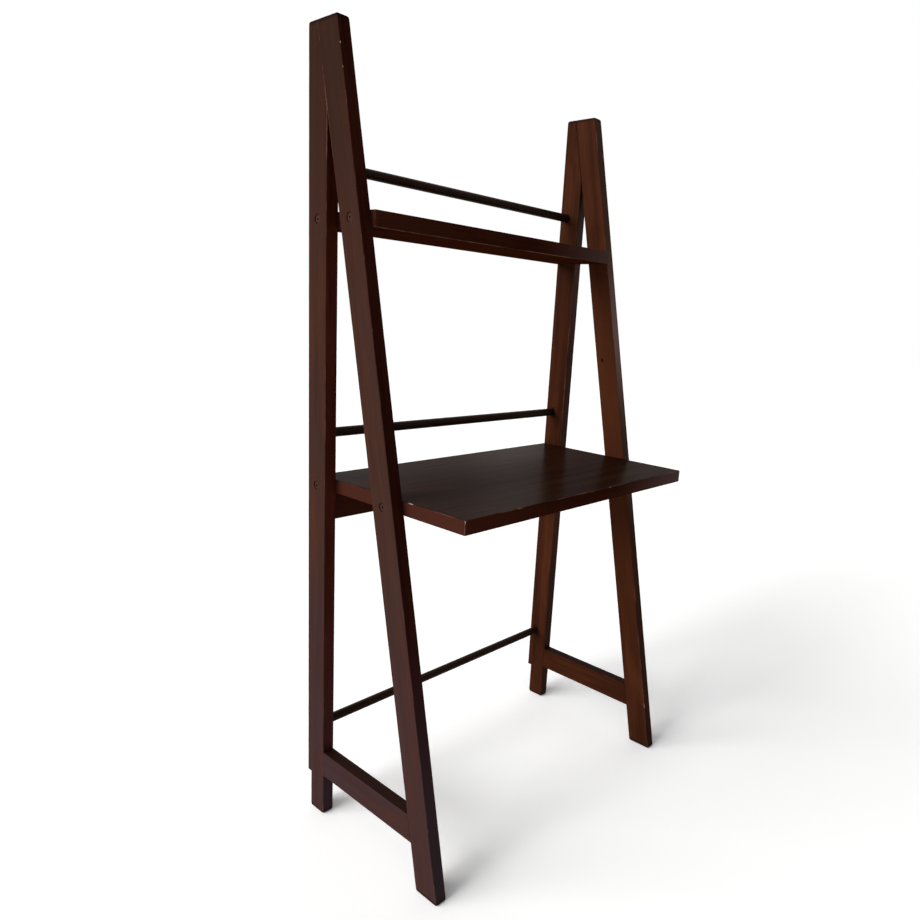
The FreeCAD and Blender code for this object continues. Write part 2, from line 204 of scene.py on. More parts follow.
def floorMaterial(look):
    material, tree = newMaterial("whiteFloor")
    shade = addMix(tree, seenDirectly(tree), look["floorBounce"], look["floorColour"])
    matt = addNode(tree, "ShaderNodeBsdfDiffuse", {"Color": shade})
    lean = addNode(tree, "ShaderNodeCombineXYZ", dict(zip("XYZ", look["footShadeFrom"]))).outputs[0]
    openness = addNode(tree, "ShaderNodeAmbientOcclusion", {
        "Distance": look["footShade"], "Normal": lean,
    }).outputs["AO"]
    shaded = addMath(tree, "POWER", openness, look["footShadePower"])
    lit = addMath(tree, "MULTIPLY", shaded, look["floorGlow"])
    glow = addNode(tree, "ShaderNodeEmission", {
        "Color": (1, 1, 1, 1), "Strength": addMath(tree, "MULTIPLY", seenDirectly(tree), lit),
    })
    both = addNode(tree, "ShaderNodeAddShader", {0: matt.outputs[0], 1: glow.outputs[0]})
    addNode(tree, "ShaderNodeOutputMaterial", {"Surface": both.outputs[0]})
    return material


def setFloor(look):
    half = look["floorSize"] / 2
    level = -look["floorDrop"]
    corners = [(-half, -half, level), (half, -half, level), (half, half, level), (-half, half, level)]
    mesh = bpy.data.meshes.new("whiteFloor")
    mesh.from_pydata(corners, [], [(0, 1, 2, 3)])
    mesh.materials.append(floorMaterial(look))
    floor = bpy.data.objects.new("whiteFloor", mesh)
    scene.collection.objects.link(floor)
    floorOnly = bpy.data.collections.new("floorOnly")
    floorOnly.objects.link(floor)
    for name in look["floorLamps"]:
        bpy.data.objects[name].light_linking.receiver_collection = floorOnly


setLamps(studio)
setWorld(studio)
setFloor(studio)
print("studio set")

# Espresso stain: each timber has its own grain direction and its own stretch of the pattern.
frameStain = {
    "deep": (0.031, 0.0090, 0.0050, 1),
    "middle": (0.052, 0.0155, 0.0072, 1),
    "light": (0.084, 0.0250, 0.0100, 1),
    "cloudLight": 0.7,      # how far the blotches go to the light and the deep colour
    "cloudDeep": 0.5,
    "lines": 0.35,          # strength of the fine grain lines
    # worn edges, and painted highlights along the bevel joint
    "rubbed": (0.280, 0.1250, 0.0900, 1),
    "bare": (0.500, 0.3800, 0.2800, 1),
    "endGrain": (0.020, 0.0075, 0.0055, 1),     # the ends drink more stain
    "endShare": 0.85,
    # colour of knots, and of the painted shade in joints
    "crevice": (0.012, 0.0040, 0.0028, 1),
    # painted sheen on the outer faces: greyer colours that stand in for the sheen of the lacquer, bluer
    # near the floor
    "haze": (0.088, 0.0580, 0.0520, 1),
    "hazeNearFloor": (0.080, 0.0560, 0.0660, 1),
    "hazeColourHeights": (0.25, 0.75),      # from the one colour to the other
    "hazeHeights": (0.2, 1.3),
    "hazeShares": (0.38, 0.24),             # share of the painted sheen at those heights
    "hazePatches": (1.25, 0.75),            # how uneven it is
    "hazeSkin": (0.0012, 0.0004),           # depth under the outer face at which it starts and is full
    "smoke": (0.030, 0.0145, 0.0090, 1),    # the outer faces are darker at the top
    "smokeHeights": (1.05, 1.50),
    "smokeShare": 0.55,
    "streakStretch": (2.6, 52, 52),
    "lineStretch": (5.0, 190, 190),
    "poreStretch": (18, 560, 560),
    "cloudStretch": (5.0, 26, 26),
    "fleckStretch": (260, 260, 260),        # flecks in the worn edges
    "lacquer": 0.015,       # weight of the thin satin coat over the stain
    "coatBands": [],        # axis, where it starts, where it is full, weight added there
    # colour of the painted light and shade that the bands below lay on
    "faded": (0.125, 0.0370, 0.0150, 1),
    "fadeBands": [],        # the same for the share of the painted light and shade colour above
    "lacquerRoughness": 0.38,
    "smoothest": 0.55,
    "roughest": 0.75,
    "bump": 0.5,
    "poreDepth": 0.0002,
    "streakHeight": 0.6,    # height of the streaks, in depths of a pore
}
# warmer and lighter than the frame stain, and lighter still at middle heights: partly its own tone, partly
# painted light where the shelf and the left frame cast shadows
warmPaintedLightStain = dict(           # right front leg, partly painted light
    frameStain, deep=(0.040, 0.0118, 0.0058, 1), middle=(0.066, 0.0196, 0.0086, 1),
    light=(0.098, 0.0290, 0.0112, 1), fadeBands=[("Z", 0.20, 0.55, 0.55), ("Z", 1.08, 1.28, -0.55)],
)
# a redder, shaded copy of the frame stain, painted shade, with a painted bluish sheen low down
paintedShadeFrontStain = dict(       # left front leg, towards the sitter: painted shade
    frameStain, deep=(0.030, 0.0068, 0.0048, 1), middle=(0.049, 0.0112, 0.0074, 1),
    light=(0.074, 0.0180, 0.0100, 1), lacquer=0.0, coatBands=[("Z", 0.55, 0.0, 0.12)],
    faded=(0.046, 0.0260, 0.0340, 1), fadeBands=[("Z", 0.60, 0.10, 0.85)],
)
# lighter and redder than the frame stain as painted light, darker low down as painted shade under the foot
# rail
paintedLightAndShadeRearStain = dict(        # left rear leg, towards the sitter: painted light and shade
    paintedShadeFrontStain, deep=(0.056, 0.0115, 0.0068, 1), middle=(0.090, 0.0190, 0.0108, 1),
    light=(0.118, 0.0270, 0.0150, 1), faded=(0.042, 0.0200, 0.0280, 1),
    fadeBands=[("Z", 0.60, 0.20, 0.30), ("Z", 0.16, 0.10, 0.60)],
)
# redder and lighter from about 0.8 to 1.25 m high, painted light under the sheen of the lacquer there
polishedPaintedLightStain = dict(       # right front leg, towards the sitter: painted light
    frameStain, lacquer=0.055,
    coatBands=[("Z", 0.54, 0.64, 0.09), ("Z", 0.78, 1.02, 0.47), ("Z", 1.02, 1.26, -0.50)],
    faded=(0.095, 0.0170, 0.0060, 1), fadeBands=[("Z", 0.80, 0.98, 1.0), ("Z", 1.10, 1.26, -1.0)],
)
satinStain = dict(          # right rear leg, towards the sitter
    frameStain, lacquer=0.10, coatBands=[("Z", 0.90, 1.20, 0.10)],
)
paintedShadeRailTopStain = dict(          # tops of the foot rails, darker: painted shade
    frameStain, deep=(0.016, 0.0055, 0.0034, 1), middle=(0.024, 0.0080, 0.0045, 1),
    light=(0.036, 0.0115, 0.0058, 1), lacquer=0.06,
)
paintedShadeBoardTopStain = dict(          # tops of the boards, darker than their edges: painted shade
    frameStain, deep=(0.019, 0.0068, 0.0036, 1), middle=(0.031, 0.0110, 0.0052, 1),
    light=(0.047, 0.0168, 0.0078, 1), cloudLight=0.5, cloudDeep=0.4, lines=0.45,
    lacquer=0.054, lacquerRoughness=0.24, coatBands=[("Y", 0.02, 0.16, 0.02)],
)
# edges of the boards: a redder copy for their shaded faces, painted shade; lighter towards the left end,
# painted light
edgeStain = dict(
    paintedShadeBoardTopStain, deep=(0.031, 0.0074, 0.0040, 1), middle=(0.048, 0.0115, 0.0056, 1),
    light=(0.062, 0.0165, 0.0080, 1), endGrain=(0.074, 0.0235, 0.0155, 1),
    lacquer=0.0, lacquerRoughness=0.38, coatBands=[("X", 0.05, 0.42, 0.25)],
    faded=(0.076, 0.0200, 0.0110, 1), fadeBands=[("X", -0.12, -0.30, 0.6)],
)
# undersides of the boards: a darker, redder copy, painted shade
paintedShadeUndersideStain = dict(
    edgeStain, deep=(0.030, 0.0065, 0.0028, 1), middle=(0.046, 0.0100, 0.0038, 1),
    light=(0.062, 0.0145, 0.0054, 1), coatBands=[], fadeBands=[],
)
# front face of the apron: a far lighter copy, painted light under the desk
paintedLightApronStain = dict(
    edgeStain, deep=(0.070, 0.0210, 0.0090, 1), middle=(0.116, 0.0360, 0.0140, 1),
    light=(0.150, 0.0470, 0.0180, 1), coatBands=[], fadeBands=[],
)


def stainedTimber(name, turn, shift, look, paintedSheenFrom=None):
    material, tree = newMaterial(name)
    place = addNode(tree, "ShaderNodeTexCoord").outputs["Object"]
    spot = addNode(tree, "ShaderNodeSeparateXYZ", {0: place}).outputs
    along = addNode(tree, "ShaderNodeMapping", {
        "Vector": place, "Rotation": [math.radians(angle) for angle in turn], "Location": shift,
    }).outputs[0]

    def band(value, start, full):
        return addRange(tree, value, start, full, kind="SMOOTHSTEP")

    def times(first, second):
        return addMath(tree, "MULTIPLY", first, second)

    def attribute(label):
        return addNode(tree, "ShaderNodeAttribute", attribute_name=label).outputs["Fac"]

    def sumBands(total, bands):
        for axis, start, full, share in bands:
            total = addMath(tree, "ADD", times(band(spot[axis], start, full), share), total)
        return total

    def brushOn(colour, layers):
        for pattern, start, full, share, tone in layers:
            colour = addMix(tree, times(band(pattern, start, full), share), colour, tone)
        return colour

    streak = addNoise(tree, along, look["streakStretch"], detail=6.0, roughness=0.6, distortion=0.4)
    fine = addNoise(tree, along, look["lineStretch"], detail=3.0, roughness=0.55, distortion=0.2)
    pore = addNoise(tree, along, look["poreStretch"], detail=2.0)
    cloud = addNoise(tree, along, look["cloudStretch"], detail=3.0, distortion=0.3)
    noiseSpan = (0.3, 0.7)      # most of a noise lies in here
    poreEdge = (0.60, 0.72)
    colour = brushOn(look["deep"], (    # pattern, where a tone starts and is full, its share, the tone
        (streak, 0.28, 0.50, 1.0, look["middle"]),
        (streak, 0.52, 0.74, 0.6, look["light"]),
        (cloud, 0.48, 0.70, look["cloudLight"], look["light"]),
        (cloud, 0.46, 0.28, look["cloudDeep"], look["deep"]),
        (fine, 0.48, 0.34, look["lines"], look["deep"]),
        (fine, 0.54, 0.70, look["lines"], look["light"]),
        (pore, *poreEdge, 0.5, look["deep"]),
    ))
    # painted light and shade, laid on in bands along an axis
    colour = addMix(tree, sumBands(0.0, look["fadeBands"]), colour, look["faded"])
    if paintedSheenFrom:
        # painted sheen: the outer faces turn greyer, as the sheen of their lacquer, more so low down
        outward = addNode(tree, "ShaderNodeMath", {0: spot["X"]}, operation="ABSOLUTE").outputs[0]
        outer = band(outward, *[paintedSheenFrom - depth for depth in look["hazeSkin"]])
        upward = addRange(tree, spot["Z"], *look["hazeHeights"], *look["hazeShares"])
        patchy = addRange(tree, cloud, *noiseSpan, *look["hazePatches"])
        above = band(spot["Z"], *look["hazeColourHeights"])
        paintedSheenColour = addMix(tree, above, look["hazeNearFloor"], look["haze"])
        colour = addMix(tree, times(times(outer, upward), patchy), colour, paintedSheenColour)
        towardsTop = times(band(spot["Z"], *look["smokeHeights"]), look["smokeShare"])
        colour = addMix(tree, times(outer, towardsTop), colour, look["smoke"])

    # wear, darker for knots and painted shade in joints, lighter for painted highlights along the bevel
    # joint
    wearAndPaintedLight = attribute("wearAndPaintedLight")
    fleck = addNoise(tree, place, look["fleckStretch"], detail=3.0)
    wornAndPaintedLight = times(wearAndPaintedLight, addMath(tree, "ADD", fleck, 0.5))
    colour = brushOn(colour, (
        (attribute("endGrain"), 0.0, 0.6, look["endShare"], look["endGrain"]),
        (wearAndPaintedLight, -0.05, -0.7, 1.0, look["crevice"]),
        (wornAndPaintedLight, 0.15, 0.85, 1.0, look["rubbed"]),
        (wornAndPaintedLight, 0.80, 1.30, 1.0, look["bare"]),
    ))

    matt = times(addMath(tree, "ADD", cloud, pore), 0.5)
    height = addMath(tree, "SUBTRACT", times(streak, look["streakHeight"]), band(pore, *poreEdge))
    bump = addNode(tree, "ShaderNodeBump", {
        "Strength": look["bump"], "Distance": look["poreDepth"], "Height": height,
    })
    shader = addNode(tree, "ShaderNodeBsdfPrincipled", {
        "Base Color": colour, "Specular IOR Level": 0.0, "Normal": bump.outputs[0],
        "Roughness": addRange(tree, matt, *noiseSpan, look["smoothest"], look["roughest"]),
        "Coat Weight": sumBands(look["lacquer"], look["coatBands"]),
        "Coat Roughness": look["lacquerRoughness"],
    })
    addNode(tree, "ShaderNodeOutputMaterial", {"Surface": shader.outputs[0]})
    return material


# A timber is a block gridded on all six sides in its own u, v, w, with eased and chipped edges.
timberCut = {
    "edgeLines": (0, 0.0004, 0.0009, 0.0016, 0.0028, 0.0050, 0.0100),
    "markLines": (-1, -0.6, -0.3, 0, 0.3, 0.6, 1),
    "step": 0.006,
    "closest": 1e-5,        # grid lines nearer than this are one
    "easing": 0.0015,       # mean radius of the eased edges
    "unevenness": 0.0003,
    "unevenPitch": 30,      # bumps in a metre
    "endReach": 0.006,      # the ends are eased more over this length
    "joinFade": 0.120,      # length over which the easing runs out into a joint
    "jointWidth": 0.0012,   # width of each half of the line left at a joint
    "jointSquash": 0.005,
    "rubWidth": 0.0024,
    "rubAll": 0.25,         # strength of the light wear that all edges have
    "rubPatches": 0.55,     # how patchy the wear is
    "patchPitches": (14, 55),       # wide and close patches in a metre
    "ragged": 0.4,          # unevenness of the outline of a chip or knot
    "raggedPitch": 400,
    "chipFill": 1.6,        # a chip is bare nearly up to its outline
    "darkening": 2,         # of knots, and of the painted shade in joints
    "endGrain": 0.0085,     # depth of end grain that shows on the sides
    "squareOn": 0.7,        # share of its normal from which a face counts as facing a way
}


def gridLines(length, extra=()):
    near = [d for d in timberCut["edgeLines"] if d < length / 2]
    lines = near + [length - d for d in near] + [d for d in extra if 0 < d < length]
    inside = length - 2 * near[-1]
    count = max(1, round(inside / timberCut["step"]))
    lines += [near[-1] + inside * i / count for i in range(1, count)]
    kept = []
    for line in sorted(lines):
        if not kept or line - kept[-1] > timberCut["closest"]:
            kept.append(line)
    return kept


def faceGaps(point, size):
    return [min(point[n], size[n] - point[n]) for n in range(3)]


def joinedShares(point, size, joins):
    # how far the nearest face across each axis is joined to a neighbour
    shares = [0.0, 0.0, 0.0]
    for axis, atHigh, start, depth, jointShade in joins:
        if atHigh == (point[axis] > size[axis] / 2):
            shares[axis] = min(1.0, max(0.0, 1 + (point[0] - start) / timberCut["joinFade"]))
    return shares


def roundTo(point, size, radius, joined):
    # a joined face keeps square edges, the others are rounded
    gaps = faceGaps(point, size)
    left = [radius * (1 - joined[n]) for n in range(3)]
    pull = [max(left[n] - gaps[n], 0) for n in range(3)]
    reach = math.sqrt(sum(p * p for p in pull))
    moved = list(point)
    for n in range(3):
        if pull[n] > 0:
            inset = max(gaps[n], left[n] - pull[n] * radius / reach)
            moved[n] = inset if point[n] < size[n] / 2 else size[n] - inset
    return moved


def sinkJoint(moved, point, size, joins, joined):
    # a fine sunk line along each joint; tells how much painted shade darkens it there
    gaps = faceGaps(point, size)
    jointShadeHere = 0.0
    for axis, atHigh, start, depth, jointShade in joins:
        if atHigh == (point[axis] > size[axis] / 2):
            near = joined[axis] * max(0.0, 1 - gaps[axis] / timberCut["jointWidth"])
            jointShadeHere = max(jointShadeHere, jointShade * near)
            for n in range(3):
                sunk = depth * near * max(0.0, 1 - gaps[n] / timberCut["jointSquash"])
                if n != axis and sunk > 0:
                    moved[n] += sunk if point[n] < size[n] / 2 else -sunk
    return jointShadeHere


def markShare(point, centre, reach, ragged):
    # 1 in the middle of a chip or knot, 0 at its ragged edge
    away = math.sqrt(sum(((point[n] - centre[n]) / reach[n]) ** 2 for n in range(3)))
    return max(0.0, 1 - (away / ragged) ** 2)


def edgeWearAndHighlight(point, size, rubsAndHighlights, rubAll, shift):
    fade = max(0.0, 1 - sorted(faceGaps(point, size))[1] / timberCut["rubWidth"])
    spot = Vector(point) + shift
    wide, close = timberCut["patchPitches"]
    patch = noise.noise(spot * wide) + 0.5 * noise.noise(spot * close)
    strength = rubAll
    for low, high, rub in rubsAndHighlights:
        if all(low[n] <= point[n] <= high[n] for n in range(3)):
            strength = max(strength, rub)
    return fade * max(0.0, strength + timberCut["rubPatches"] * patch)


def makeTimber(name, size, place, material, chips=(), knots=(), rubsAndHighlights=(), rubAll=timberCut["rubAll"],
               joins=(), extra=(), endEasing=0.0, seed=0.0):
    marked = [chip[:2] for chip in chips] + list(knots)
    lines = []
    for n in range(3):
        shares = timberCut["markLines"]
        markLines = [centre[n] + reach[n] * share for centre, reach in marked for share in shares]
        lines.append(gridLines(size[n], markLines + (list(extra) if n == 0 else [])))
    last = [len(side) - 1 for side in lines]
    shift = Vector((seed, seed * 1.7, seed * 0.6))      # each timber has its own stretch of the noise
    index = {}
    points = []
    wearAndPaintedLight = []
    ends = []
    faces = []

    def pointAt(key):
        if key in index:
            return index[key]
        flat = [lines[n][key[n]] for n in range(3)]
        spot = Vector(flat) + shift
        uneven = noise.noise(spot * timberCut["unevenPitch"])
        radius = timberCut["easing"] + timberCut["unevenness"] * uneven
        fromEnd = min(flat[0], size[0] - flat[0])
        radius += endEasing * max(0.0, 1 - fromEnd / timberCut["endReach"])
        wornAndPaintedLight = edgeWearAndHighlight(flat, size, rubsAndHighlights, rubAll, shift)
        ragged = 1 + timberCut["ragged"] * noise.noise(spot * timberCut["raggedPitch"])
        for centre, reach, depth, bareness in chips:
            share = markShare(flat, centre, reach, ragged)
            radius += depth * share
            wornAndPaintedLight = max(wornAndPaintedLight, bareness * min(1, timberCut["chipFill"] * share))
        for centre, reach in knots:
            wornAndPaintedLight -= timberCut["darkening"] * markShare(flat, centre, reach, ragged)
        index[key] = len(points)
        joined = joinedShares(flat, size, joins)
        moved = roundTo(flat, size, radius, joined)
        # painted shade along the joints
        wornAndPaintedLight -= timberCut["darkening"] * sinkJoint(moved, flat, size, joins, joined)
        points.append(place(*moved))
        wearAndPaintedLight.append(wornAndPaintedLight)
        ends.append(max(0.0, 1 - fromEnd / timberCut["endGrain"]) * (1 - joined[0]))
        return index[key]

    for axis in range(3):
        first, second = [n for n in range(3) if n != axis]
        for end in (0, last[axis]):
            for i in range(last[first]):
                for j in range(last[second]):
                    corners = []
                    for di, dj in ((0, 0), (1, 0), (1, 1), (0, 1)):
                        key = [end, end, end]
                        key[first] = i + di
                        key[second] = j + dj
                        corners.append(pointAt(tuple(key)))
                    faces.append(corners)

    mesh = bpy.data.meshes.new(name)
    mesh.from_pydata(points, [], faces)
    mesh.attributes.new("wearAndPaintedLight", "FLOAT", "POINT").data.foreach_set("value", wearAndPaintedLight)
    mesh.attributes.new("endGrain", "FLOAT", "POINT").data.foreach_set("value", ends)
    shell = bmesh.new()
    shell.from_mesh(mesh)
    bmesh.ops.recalc_face_normals(shell, faces=shell.faces)
    for face in shell.faces:
        face.smooth = True
    shell.to_mesh(mesh)
    shell.free()
    mesh.materials.append(material)
    timber = bpy.data.objects.new(name, mesh)
    scene.collection.objects.link(timber)
    return timber


def facesSitter(normal):
    return normal.y < -timberCut["squareOn"]


def facesUp(normal):
    return normal.z > timberCut["squareOn"]


def facesDown(normal):
    return normal.z < -timberCut["squareOn"]


def coverFaces(timber, material, chosen):
    # the faces with a chosen normal get a finish of their own
    place = len(timber.data.materials)
    timber.data.materials.append(material)
    for face in timber.data.polygons:
        if chosen(face.normal):
            face.material_index = place


# Holes are cut by turned drills that start a little outside the face.
drillCut = {"round": 40, "over": 0.005}


def lathe(shell, profile, start, axis):
    # closed turned solid: profile is (distance along the axis, radius) from end to end
    axis = Vector(axis).normalized()
    across = axis.orthogonal().normalized()
    upright = axis.cross(across)
    segments = drillCut["round"]
    rings = []
    for along, radius in profile:
        ring = []
        for i in range(segments):
            angle = 2 * math.pi * i / segments
            out = across * math.cos(angle) + upright * math.sin(angle)
            ring.append(shell.verts.new(Vector(start) + axis * along + out * radius))
        rings.append(ring)
    shell.faces.new(list(reversed(rings[0])))
    shell.faces.new(rings[-1])
    for lower, upper in zip(rings, rings[1:]):
        for i in range(segments):
            j = (i + 1) % segments
            shell.faces.new((lower[i], lower[j], upper[j], upper[i]))


def cutHoles(timber, holes):
    # holes: (profile, start, axis)
    cutter = bmesh.new()
    for profile, start, axis in holes:
        lathe(cutter, profile, start, axis)
    bmesh.ops.recalc_face_normals(cutter, faces=cutter.faces)
    mesh = bpy.data.meshes.new("drill")
    cutter.to_mesh(mesh)
    cutter.free()
    drill = bpy.data.objects.new("drill", mesh)
    scene.collection.objects.link(drill)
    cut = timber.modifiers.new("drill", "BOOLEAN")
    cut.operation = "DIFFERENCE"
    cut.solver = "EXACT"
    cut.object = drill
    sights = bpy.context.evaluated_depsgraph_get()
    drilled = bpy.data.meshes.new_from_object(timber.evaluated_get(sights))
    timber.modifiers.clear()
    timber.data = drilled
    bpy.data.objects.remove(drill)


def finishPiece(piece, nodes):
    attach(piece, "root")
    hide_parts(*nodes)


# Side frames: raked front leg, upright rear leg bevelled to it, low foot rail.
sideFrame = {
    "topDepth": 0.080,
    "legWidth": 0.0545,
    "notchDepth": 0.011,
    "notchHeight": 0.083,
    "lip": 0.0012,          # radius of the eased lip over the notch
    "lipLines": (0, 0.00002, 0.0002, 0.0005, 0.0012),   # grid lines up from the notch
    "endZone": 0.010,       # width beside an edge that keeps its true spacing
    "boltAcross": 0.0145,
    "boreDepth": 0.004,
    "boreSlack": 0.0004,
    "shankHole": 0.0064,
    "socketAcross": 0.0194,
    "socketDepth": 0.012,
}
legLow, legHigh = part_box("left_front_leg")
railLow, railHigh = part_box("left_foot_rail")
outerFace = -legLow.x
legThick = legHigh.x - legLow.x
height = legHigh.z
footFront = legLow.y
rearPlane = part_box("left_rear_leg")[1].y
rearFront = rearPlane - sideFrame["legWidth"]
slope = (rearPlane - sideFrame["topDepth"] - footFront) / height
rake = math.atan(slope)
legRun = sideFrame["legWidth"] / math.cos(rake)


def frontAt(z):
    return footFront + slope * z


def rearLegFront(z):
    return max(rearFront, frontAt(z) + legRun)


def rearLegBack(z):
    # the notch for the baseboard, with an eased lip over its ledge
    over = z - sideFrame["notchHeight"]
    lip = sideFrame["lip"]
    if over <= 0:
        return rearPlane - sideFrame["notchDepth"]
    if over < lip:
        return rearPlane - lip + math.sqrt(max(0, lip ** 2 - (lip - over) ** 2))
    return rearPlane


def fitBetween(along, length, low, high):
    zone = sideFrame["endZone"]
    if along <= zone:
        return low + along
    if along >= length - zone:
        return high - (length - along)
    return low + zone + (along - zone) / (length - 2 * zone) * (high - low - 2 * zone)


def onSide(side, depth):
    return side * (outerFace - depth)


boltsAt = {}
deskLow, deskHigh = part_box("desk_top")
shelfLow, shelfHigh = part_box("shelf_board")
for label, low, high in (("desk", deskLow, deskHigh), ("shelf", shelfLow, shelfHigh)):
    level = (low.z + high.z) / 2
    boltsAt[label + "Rear"] = ((rearFront + rearPlane) / 2, level)
    boltsAt[label + "Front"] = (frontAt(level) + legRun / 2, level)
rodsAt = []
for label in ("upper", "middle", "lower"):
    low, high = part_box(label + "_rod")
    rodsAt.append(((low.y + high.y) / 2, (low.z + high.z) / 2))


def boltHole(side, y, z):
    bore = sideFrame["boltAcross"] / 2 + sideFrame["boreSlack"]
    hole = sideFrame["shankHole"] / 2
    over = drillCut["over"]
    depth = sideFrame["boreDepth"] + over
    profile = [(0, bore), (depth, bore), (depth, hole), (legThick + 2 * over, hole)]
    return profile, (onSide(side, -over), y, z), (-side, 0, 0)


def rodSocket(side, y, z):
    across = sideFrame["socketAcross"] / 2
    over = drillCut["over"]
    depth = sideFrame["socketDepth"] + over
    return [(0, across), (depth, across)], (onSide(side, legThick + over), y, z), (side, 0, 0)


railWide = railHigh.z - railLow.z
railLong = rearFront - frontAt((railLow.z + railHigh.z) / 2) - legRun
kink = (rearFront - legRun - footFront) / slope     # where the bevel joint starts
legMarks = {
    "leftChips": [          # centre, reach, depth and bareness in the leg's own u, v, w
        ((1.477, 0, 0), (0.0022, 0.0016, 0.0016), 0.0010, 1.3),
        ((1.439, 0, 0), (0.0024, 0.0012, 0.0012), 0.0008, 1.1),
        ((1.136, 0, 0), (0.0045, 0.0012, 0.0012), 0.0010, 0.4),
        ((1.017, 0, 0), (0.0035, 0.0012, 0.0012), 0.0010, 0.5),
        ((0.957, 0, 0), (0.0060, 0.0010, 0.0010), 0.0010, 0.4),
        ((0.142, 0, 0), (0.0060, 0.0009, 0.0009), 0.0008, 0.6),
        ((0.610, legRun, legThick), (0.0050, 0.0012, 0.0012), 0.0010, 0.8),
        ((0.0, 0, 0.015), (0.0016, 0.0016, 0.0110), 0.0003, 0.9),
        ((0.0, 0, 0.0), (0.0020, 0.0020, 0.0020), 0.0006, 1.2),
    ],
    "rightChips": [
        ((0.111, 0, legThick), (0.0085, 0.0014, 0.0014), 0.0008, 1.5),
        ((0.870, 0, legThick), (0.0040, 0.0008, 0.0008), 0.0006, 0.6),
        ((0.330, 0, 0), (0.0060, 0.0012, 0.0012), 0.0010, 0.9),
        ((1.120, 0, 0), (0.0030, 0.0014, 0.0014), 0.0010, 1.2),
    ],
    "rightKnots": [((0.960, 0.039, legThick), (0.0045, 0.0035, 0.0030))],   # centre and reach
    "rubsAndHighlights": [               # low and high corner of a stretch of edge, strength
        ((0, -1, -1), (0.004, 0.004, 0.03), 0.95),
        ((0, -1, -1), (0.040, 0.004, 0.03), 0.45),
        ((0.02, -1, legThick - 0.003), (0.14, 0.003, 1), 0.50),
        # along the bevel joint: wear, and a painted highlight where the eased edge catches the light
        ((1.30, 0.05, -1), (1.53, 0.06, 0.003), 0.48),
    ],
    "rearRubsAndHighlights": [
        # along the bevel joint: wear, and a painted highlight where the eased edge catches the light
        ((1.30, -1, -1), (1.53, 0.004, 0.003), 0.52),
        ((0.80, -1, legThick - 0.003), (1.15, 0.003, 1), 0.42),
    ],
    "leftJoint": (0.0003, 0.0),     # depth and painted shade of the line at the bevel joint
    "rightJoint": (0.0010, 0.5),
    "railJoint": (0.00005, 0.0),
    "railRub": 0.02,
    "endEasing": 0.0026,
    "faces": {"left": frameStain, "right": warmPaintedLightStain},
    "frontFaces": {"left": paintedShadeFrontStain, "right": polishedPaintedLightStain},
    "rearFaces": {"left": paintedLightAndShadeRearStain, "right": satinStain},
    "seeds": {"left": 10.0, "right": 12.0},
    "rearSeed": 3,
    "railSeed": 6,
    "frontGrain": {"left": (-0.7, 0.9, -0.2), "right": (1.3, 0.9, 0.2)},    # stretch of the pattern
    "rearGrain": {"left": (-0.3, 0.4, -0.3), "right": (1.7, 0.4, 0.3)},
    "railGrain": {"left": (-0.8, 0.1, 0.5), "right": (1.2, 0.1, 0.5)},
}
rakedGrain = (math.degrees(rake), 90, 0)    # turns that lay the pattern along a timber
uprightGrain = (0, 90, 0)
backwardGrain = (0, 0, -90)
